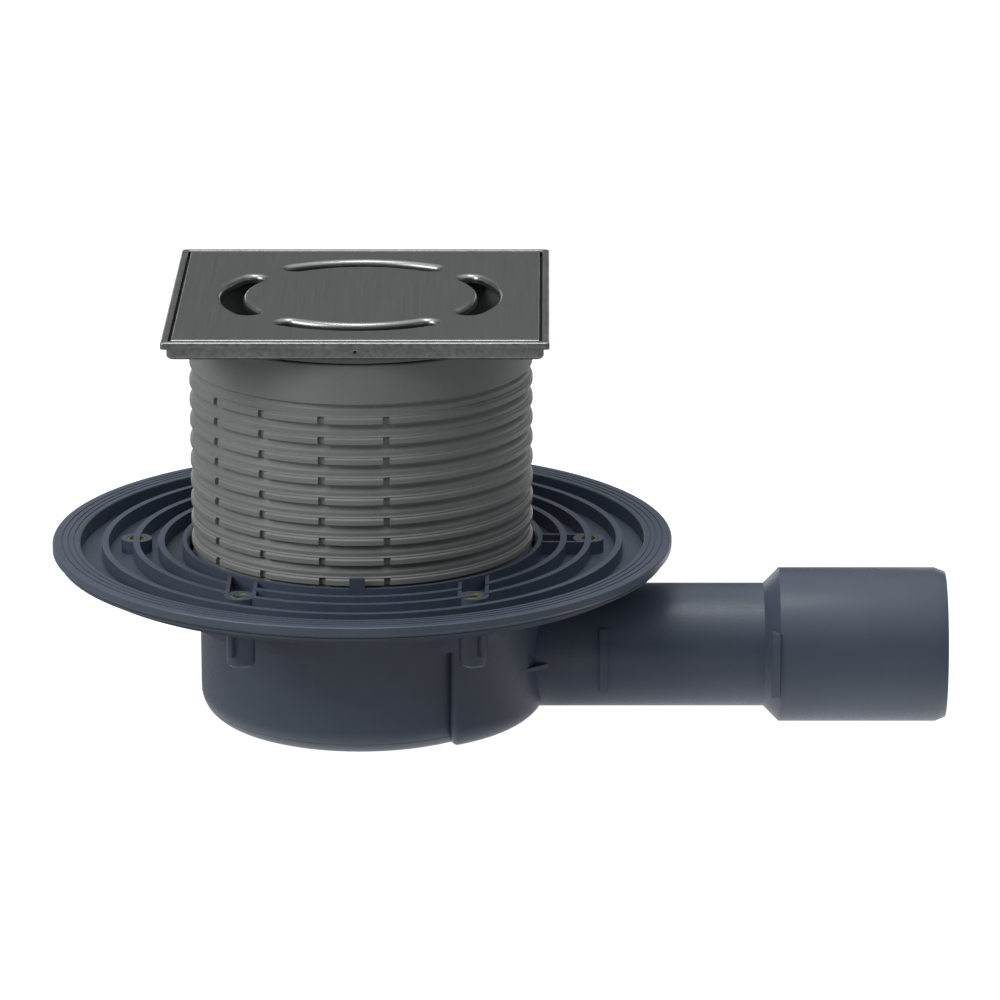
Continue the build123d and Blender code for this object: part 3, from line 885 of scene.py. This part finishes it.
@dataclass
class GrateFrame:
    """The stepped square frame with its tray and its round bore."""

    shop: Workshop
    front_hole_r: float = 0.5
    front_hole_drop: float = 1.2
    drill_length: float = 3.4
    drill_lead: float = 0.4
    step_inset: float = 1.8
    face_height: float = 2.3
    ledge_drop: float = 1.5
    foot_round: float = 1.2
    outer_round: float = 0.75
    inner_round: float = 0.5
    rim_width: float = 2.3
    channel_reach: float = 3.4
    channel_rise: float = 0.35
    bore_r: float = 49.5
    ring_seat_r: float = 53.1
    step_bevel: float = 0.12
    bore_bevel: float = 0.1
    # Corner radii of the rounded squares, from the foot up and in.
    under_corner: float = 2.0
    bevel_corner: float = 0.9
    rim_corner: float = 1.0
    inner_corner: float = 0.35
    channel_corner: float = 0.3
    # The channel's faces: how far in from the frame's edge and how far under its top.
    channel_in: tuple[float, float] = (2.25, 3.45)
    channel_down: tuple[float, float] = (0.45, 2.2)
    sharp_angle: float = 30.0
    corner_steps: int = 8
    side_steps: int = 24

    def loop(self, half: float, corner: float) -> np.ndarray:
        """Works out a rounded square: four quarter circles joined by straight sides.

        Args:
            half: Half of the square's width.
            corner: Radius of its corners.

        Returns:
            X and Y of each point, the same number of points for every square.
        """
        arc = unit(np.linspace(0, np.pi / 2, self.corner_steps)) * corner + (half - corner)
        share = np.linspace(0, 1, self.side_steps + 2)[1:-1, None]
        side = arc[-1] * (1 - share) + np.array([-(half - corner), half]) * share
        quarter_loop = np.vstack([arc, side])
        turns = np.radians([0, 90, 180, 270])
        matrices = np.stack([unit(turns), np.stack([-np.sin(turns), np.cos(turns)], -1)], 1)
        return np.einsum("pi,tij->tpj", quarter_loop, matrices).reshape(-1, 2)

    def build(self) -> None:
        """Carries the frame's section round from the square outside to the round bore.

        Each row of the grid is a rounded square, or a circle whose points stand at the same
        angles as the square's points.
        """
        low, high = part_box("grate_frame")
        low_z, top_z = low[2] / MM, high[2] / MM
        half = high[0] / MM
        step_z, ledge_z = top_z - self.face_height, top_z - self.ledge_drop
        step, foot_r = self.step_inset, self.foot_round
        outer_r, inner_r = self.outer_round, self.inner_round
        channel_z, wall = step_z + self.channel_rise, half - self.rim_width
        foot_turn = np.linspace(np.pi / 2, 0, 5)[:-1]
        outer_turn, inner_turn = np.linspace(0, np.pi / 2, 6), np.linspace(np.pi / 2, 0, 5)
        foot_half = half - step - foot_r
        under, rim, bevel, flat = self.under_corner, self.rim_corner, self.step_bevel, self.channel_corner
        outline = [
            (foot_half + foot_r * np.cos(a), low_z + foot_r * (1 - np.sin(a)), under) for a in foot_turn
        ]
        outline += [(half - step, low_z + foot_r, under), (half - step, step_z, under)]
        outline += [(half - bevel, step_z, self.bevel_corner), (half, step_z + bevel, rim)]
        outline += [
            (half - outer_r * (1 - np.cos(a)), top_z - outer_r * (1 - np.sin(a)), rim) for a in outer_turn
        ]
        outline += [
            (wall + inner_r * (1 - np.cos(a)), top_z - inner_r * (1 - np.sin(a)), self.inner_corner)
            for a in inner_turn
        ]
        channel_half = half - self.channel_reach
        outline += [(wall, channel_z, flat), (channel_half, channel_z, flat)]
        outline += [(channel_half, ledge_z, flat)]
        rows = [at_height(self.loop(h, c), z) for h, z, c in outline]
        circle = unit(np.arctan2(rows[0][:, 1], rows[0][:, 0]))
        bore, seat, edge = self.bore_r, self.ring_seat_r, self.bore_bevel
        inside = [(bore + edge, ledge_z), (bore, ledge_z - edge), (bore, step_z)]
        inside += [(seat, step_z), (seat, low_z)]
        rows += [at_height(circle * r, z) for r, z in inside]
        piece = grid_mesh("steel_grate_frame", [(np.stack(rows), True, True)], self.sharp_angle)
        self.drill_front(piece, half - step, step_z - self.front_hole_drop)
        self.shop.dress(piece, FRAME_STEEL, Body.EXTENSION, "grate_frame", "frame_steel")
        self.paint_channel_shade(piece, half * MM, top_z * MM)

    def drill_front(self, piece: Object, half: float, middle_z: float) -> None:
        """Cuts the small round hole in the middle of the front face.

        Args:
            piece: The frame.
            half: Distance in millimetres from the middle to the face that it is in.
            middle_z: Height of the hole's middle in millimetres.
        """
        reach, length = self.front_hole_r, self.drill_length
        section = np.array([(0.0, 0.0), (reach, 0.0), (reach, length), (0.0, length)])
        turned = revolved(section, full_turn(24))
        along = turned[..., 2] - half - self.drill_lead
        level = np.stack([turned[..., 0], along, turned[..., 1] + middle_z], -1)
        drill = grid_mesh("front_drill", [(level, True, True)])
        cut = piece.modifiers.new("front_hole", "BOOLEAN")
        cut.object = drill
        cut.solver = "EXACT"
        piece.modifiers.move(len(piece.modifiers) - 1, 0)
        cut_piece = piece.evaluated_get(bpy.context.evaluated_depsgraph_get())
        piece.data = bpy.data.meshes.new_from_object(cut_piece)
        piece.modifiers.clear()
        bpy.data.objects.remove(drill)

    def paint_channel_shade(self, piece: Object, half: float, top_z: float) -> None:
        """Paints the channel round the tray with near-black dull steel. This is painted shade for the
        shadow down in that narrow groove.

        Args:
            piece: The frame.
            half: Half of its width in metres.
            top_z: Height of its top in metres.
        """
        piece.data.materials.append(CHANNEL_PAINTED_SHADE.build(self.shop.effects))
        centres = read_rows(piece.data.polygons, "center", 3)
        out = np.abs(centres[:, :2]).max(1)
        (near, far), (upper, lower) = np.array((self.channel_in, self.channel_down)) * MM
        inside = (out < half - near) & (out > half - far)
        inside &= (centres[:, 2] < top_z - upper) & (centres[:, 2] > top_z - lower)
        # The channel's faces get the painted-shade material.
        piece.data.polygons.foreach_set("material_index", inside.astype(np.int32))


@dataclass
class Grate:
    """The square plate with four curved slots, whose edges are rolled down."""

    shop: Workshop
    thickness: float = 1.5
    inner_r: float = 36.8
    outer_r: float = 45.3
    half_angle: float = 37.8
    lip_wall: float = 1.1
    lip_drop: float = 1.4
    lip_edge: float = 0.3
    flat_margin: float = 0.3
    roll: float = 1.6
    wall_inset: float = 0.6
    edge_round: float = 0.5
    field_inner_r: float = 34.2
    field_outer_r: float = 47.9
    hub_r: float = 0.02
    hub_rows: int = 8
    sharp_angle: float = 36.0
    along: int = 40
    around_end: int = 16

    def slot_loop(self, offset: float) -> np.ndarray:
        """Works out a slot's outline, grown by an offset, for the slot on +X.

        The long sides are arcs about the plate's centre, and each end is a half circle
        about a point on the slot's middle radius.

        Args:
            offset: Distance out from the slot's edge.

        Returns:
            X and Y of each point, counter-clockwise.
        """
        middle_r = (self.inner_r + self.outer_r) / 2
        end_r = (self.outer_r - self.inner_r) / 2
        reach = np.radians(self.half_angle) - np.arcsin(end_r / middle_r)
        angles = np.linspace(-reach, reach, self.along)
        outer = (self.outer_r + offset) * unit(angles)
        inner = (self.inner_r - offset) * unit(-angles)
        bow = (end_r + offset) * unit(np.linspace(0, np.pi, self.around_end + 2)[1:-1])
        upper = np.array([np.cos(reach), np.sin(reach)]) * middle_r + self.spin(bow, reach)
        lower = np.array([np.cos(reach), -np.sin(reach)]) * middle_r + self.spin(bow, np.pi - reach)
        return np.vstack([outer, upper, inner, lower])

    def field_loop(self) -> np.ndarray:
        """Works out a slot's quarter of the plate's ring, point for point with the slot."""
        span = np.linspace(-np.pi / 4, np.pi / 4, self.along)
        outer = self.field_outer_r * unit(span)
        inner = self.field_inner_r * unit(-span)
        radii = np.linspace(self.field_outer_r, self.field_inner_r, self.around_end + 2)[1:-1]
        slant = np.array([np.cos(np.pi / 4), np.sin(np.pi / 4)])
        upper = radii[:, None] * slant
        lower = radii[::-1, None] * slant * (1, -1)
        return np.vstack([outer, upper, inner, lower])

    @staticmethod
    def spin(flat: np.ndarray, angle: float) -> np.ndarray:
        """Turns points about the origin by an angle in radians."""
        return flat @ np.array([[np.cos(angle), np.sin(angle)], [-np.sin(angle), np.cos(angle)]])

    def slot_field(self, low_z: float, top_z: float) -> np.ndarray:
        """Works out one slot with its rolled lip and the flat plate round it.

        The section runs from the plate's underside in to the lip, down it, up the slot's
        wall, over a quarter circle of the roll's radius and out over the flat top.

        Args:
            low_z: Height of the plate's underside.
            top_z: Height of its top.

        Returns:
            Rows of the section, points round the slot and three coordinates.
        """
        turn = np.linspace(0, np.pi / 2, 7)
        wall = -self.wall_inset
        rolled = [(wall + self.roll * (1 - np.cos(a)), top_z - self.roll * (1 - np.sin(a))) for a in turn]
        edge, lip_z = self.lip_edge, low_z - self.lip_drop
        section = [
            (self.lip_wall, low_z),
            (self.lip_wall, lip_z + edge),
            (self.lip_wall - edge, lip_z),
            (wall + edge, lip_z),
            (wall, lip_z + edge),
            *rolled,
            (wall + self.roll + self.flat_margin, top_z),
        ]
        field_edge = self.field_loop()
        slot_rows = [at_height(self.slot_loop(out), z) for out, z in section]
        return np.stack([at_height(field_edge, low_z), *slot_rows, at_height(field_edge, top_z)])

    def build(self) -> None:
        """Builds the plate from its middle, four slot fields and the square border."""
        low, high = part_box("grate")
        half, top_z = high[0] / MM, high[2] / MM
        low_z = top_z - self.thickness
        slot_field = self.slot_field(low_z, top_z)
        grids = []
        for quarter in range(4):
            turned = slot_field.copy()
            flat = self.spin(slot_field[..., :2].reshape(-1, 2), TURN * quarter / 4)
            turned[..., :2] = flat.reshape(turned.shape[:2] + (2,))
            grids.append((turned, False, True))
        span = np.linspace(-np.pi / 4, np.pi / 4, self.along)[:-1]
        angles = (np.arange(4)[:, None] * np.pi / 2 + span).ravel()
        circle = unit(angles)
        square = circle / np.abs(circle).max(1, keepdims=True)
        for z in (low_z, top_z):
            radii = np.linspace(self.hub_r, self.field_inner_r, self.hub_rows)
            grids.append((np.stack([at_height(circle * r, z) for r in radii]), False, True))
        edge = self.edge_round
        turn = np.linspace(0, np.pi / 2, 6)
        border = [(self.field_outer_r, low_z, circle)]
        border += [(half, low_z, square)]
        border += [
            (half - edge + edge * np.cos(a), top_z - edge + edge * np.sin(a), square) for a in turn
        ]
        border += [(self.field_outer_r, top_z, circle)]
        grids.append((np.stack([at_height(shape * r, z) for r, z, shape in border]), False, True))
        piece = grid_mesh("steel_grate", grids, self.sharp_angle)
        self.shop.dress(piece, GRATE_STEEL, Body.EXTENSION, "grate", "grate_steel")


@dataclass
class Studio:
    """The camera at the photograph's viewing angle, soft lights and a pale floor."""

    camera_at: Triple = (0.06022, -1.8907, 0.6231)
    pitch_down: float = 16.294
    lens: float = 219.7
    shift_x: float = -0.04876
    floor_z: float = -0.0034
    backdrop: float = 1.05
    room_tint: tuple[float, float, float, float] = (0.97, 0.98, 1.0, 1.0)
    floor_half: float = 6.0
    front_light: float = 0.045
    # Each glow: axis of the direction, where it starts, where it is full, its strength.
    glows: tuple[tuple[str, float, float, float], ...] = (
        ("Z", 0.3, 0.9, 0.9),
        ("X", -0.6, -0.98, 0.24),
        ("X", 0.7, 1.0, 0.18),
        ("Y", 0.1, 0.9, 0.1),
    )
    floor_seen: float = 1.0
    # Each patch: its middle in X and Y, full up to here, gone by here, its strength. The patches glow for
    # every ray but the camera's, as painted light that lights the drain from below.
    glowing_floor_patches: tuple[tuple[float, float, float, float, float], ...] = (
        (0.168, 0.12, 0.1, 0.222, 1.2),
        (0.0, 0.0, 0.045, 0.085, 0.9),
        (0.05, -0.1, 0.14, 0.37, 0.23),
        (0.0, 1.3, 0.5, 0.95, 1.4),
    )
    aim: Triple = (0.03, 0.0, 0.06)
    # Each light: its name, where it stands, its width, its power. All face the aim.
    lights: tuple[tuple[str, Triple, float, float], ...] = (
        ("key_left", (-1.3, -0.8, 1.0), 0.95, 15.5),
        ("overhead", (-0.1, -0.2, 2.0), 0.8, 12.5),
        ("back_left", (-0.55, 1.9, 0.1), 0.4, 1.5),
        ("back_right", (0.62, 1.9, 0.1), 0.4, 1.5),
    )

    def camera(self) -> None:
        """Places the camera and makes it the scene's camera."""
        data = bpy.data.cameras.new("photo_camera")
        data.lens = self.lens
        data.sensor_width = 36.0
        data.shift_x = self.shift_x
        data.clip_end = 50.0
        camera = placed("photo_camera", data)
        camera.location = self.camera_at
        camera.rotation_euler = (radians(90 - self.pitch_down), 0.0, 0.0)
        bpy.context.scene.camera = camera

    def light(self, name: str, place: Triple, size: float, power: float) -> None:
        """Adds one square soft light that faces the drain.

        Args:
            name: The light's name.
            place: Where it stands, in metres.
            size: Its width in metres.
            power: Its power in watts.
        """
        data = bpy.data.lights.new(name, "AREA")
        data.size = size
        data.energy = power
        lamp = placed(name, data)
        lamp.location = place
        lamp.rotation_euler = (Vector(self.aim) - Vector(place)).to_track_quat("-Z", "Y").to_euler()

    def world(self) -> None:
        """Makes a room that glows above, beside and behind, and is white for the camera's own rays."""
        world = bpy.data.worlds.new("pale_room")
        world.use_nodes = True
        tree = world.node_tree
        link = tree.links.new
        place = tree.nodes.new("ShaderNodeTexCoord")
        split = tree.nodes.new("ShaderNodeSeparateXYZ")
        link(place.outputs["Generated"], split.inputs["Vector"])
        total = None
        for axis, start, full, strength in self.glows:
            glow = spread_node(tree, (start, full), (0.0, strength))
            glow.interpolation_type = "SMOOTHSTEP"
            link(split.outputs[axis], glow.inputs["Value"])
            added = add_node(tree, "ShaderNodeMath", {1: self.front_light})
            added.operation = "ADD"
            link(glow.outputs["Result"], added.inputs[0])
            if total is not None:
                link(total, added.inputs[1])
            total = added.outputs[0]
        room = tree.nodes["Background"]
        room.inputs["Color"].default_value = self.room_tint
        link(total, room.inputs["Strength"])
        plain = {"Strength": self.backdrop, "Color": (1.0, 1.0, 1.0, 1.0)}
        white = add_node(tree, "ShaderNodeBackground", plain)
        seen = tree.nodes.new("ShaderNodeLightPath")
        both = tree.nodes.new("ShaderNodeMixShader")
        link(seen.outputs["Is Camera Ray"], both.inputs["Fac"])
        link(room.outputs["Background"], both.inputs[1])
        link(white.outputs["Background"], both.inputs[2])
        link(both.outputs["Shader"], tree.nodes["World Output"].inputs["Surface"])
        bpy.context.scene.world = world

    def floor(self) -> None:
        """Lays the pale floor just under the drain. It is white to the camera and has glowing patches that
        light the drain as painted light.
        """
        size = self.floor_half
        mesh = bpy.data.meshes.new("pale_floor")
        corners = [(-size, -size, 0), (size, -size, 0), (size, size, 0), (-size, size, 0)]
        mesh.from_pydata(corners, [], [(0, 1, 2, 3)])
        mesh.transform(Matrix.Translation((0.0, 0.0, self.floor_z)))
        floor = placed("pale_floor", mesh)
        material = bpy.data.materials.new("pale_floor")
        material.use_nodes = True
        tree = material.node_tree
        link = tree.links.new
        shader = tree.nodes["Principled BSDF"]
        shader.inputs["Base Color"].default_value = (0.3, 0.3, 0.3, 1.0)
        shader.inputs["Roughness"].default_value = 0.9
        shader.inputs["Specular IOR Level"].default_value = 0.1
        shader.inputs["Emission Color"].default_value = (1.0, 1.0, 1.0, 1.0)
        place = tree.nodes.new("ShaderNodeTexCoord")
        brightest = None
        for spot_x, spot_y, inner, outer, strength in self.glowing_floor_patches:
            apart = add_node(tree, "ShaderNodeVectorMath", {1: (spot_x, spot_y, self.floor_z)})
            apart.operation = "DISTANCE"
            link(place.outputs["Object"], apart.inputs[0])
            fade = spread_node(tree, (inner, outer), (strength, 0.0))
            fade.interpolation_type = "SMOOTHSTEP"
            link(apart.outputs["Value"], fade.inputs["Value"])
            highest = add_node(tree, "ShaderNodeMath", {1: 0.0})
            highest.operation = "MAXIMUM"
            link(fade.outputs["Result"], highest.inputs[0])
            if brightest is not None:
                link(brightest, highest.inputs[1])
            brightest = highest.outputs[0]
        # Camera rays see an even white floor. Other rays see only the glowing patches, which are painted
        # light on the drain.
        seen = tree.nodes.new("ShaderNodeLightPath")
        glow = add_node(tree, "ShaderNodeMix", {"B": self.floor_seen})
        link(seen.outputs["Is Camera Ray"], glow.inputs["Factor"])
        link(brightest, glow.inputs["A"])
        link(glow.outputs["Result"], shader.inputs["Emission Strength"])
        mesh.materials.append(material)

    def build(self) -> None:
        """Sets up the whole studio and a plain view transform."""
        self.camera()
        self.world()
        self.floor()
        for name, place, size, power in self.lights:
            self.light(name, place, size, power)
        bpy.context.scene.view_settings.view_transform = "Standard"
        bpy.context.scene.view_settings.look = "None"


def main() -> None:
    """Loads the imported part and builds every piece."""
    logging.basicConfig(level=logging.INFO, format="%(message)s")
    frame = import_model()
    shop = Workshop(frame, Effects(mottle_group(), {grain: streak_group(grain) for grain in Grain}))
    Studio().build()
    assemblies = (
        DrainBody, ThreadedInserts, ExtensionTube, RubberParts, TrapInsert, NeckRing, GrateFrame, Grate,
    )
    for assembly in assemblies:
        assembly(shop).build()
        LOG.info("%s is done", assembly.__name__)


if __name__ == "__main__":
    main()
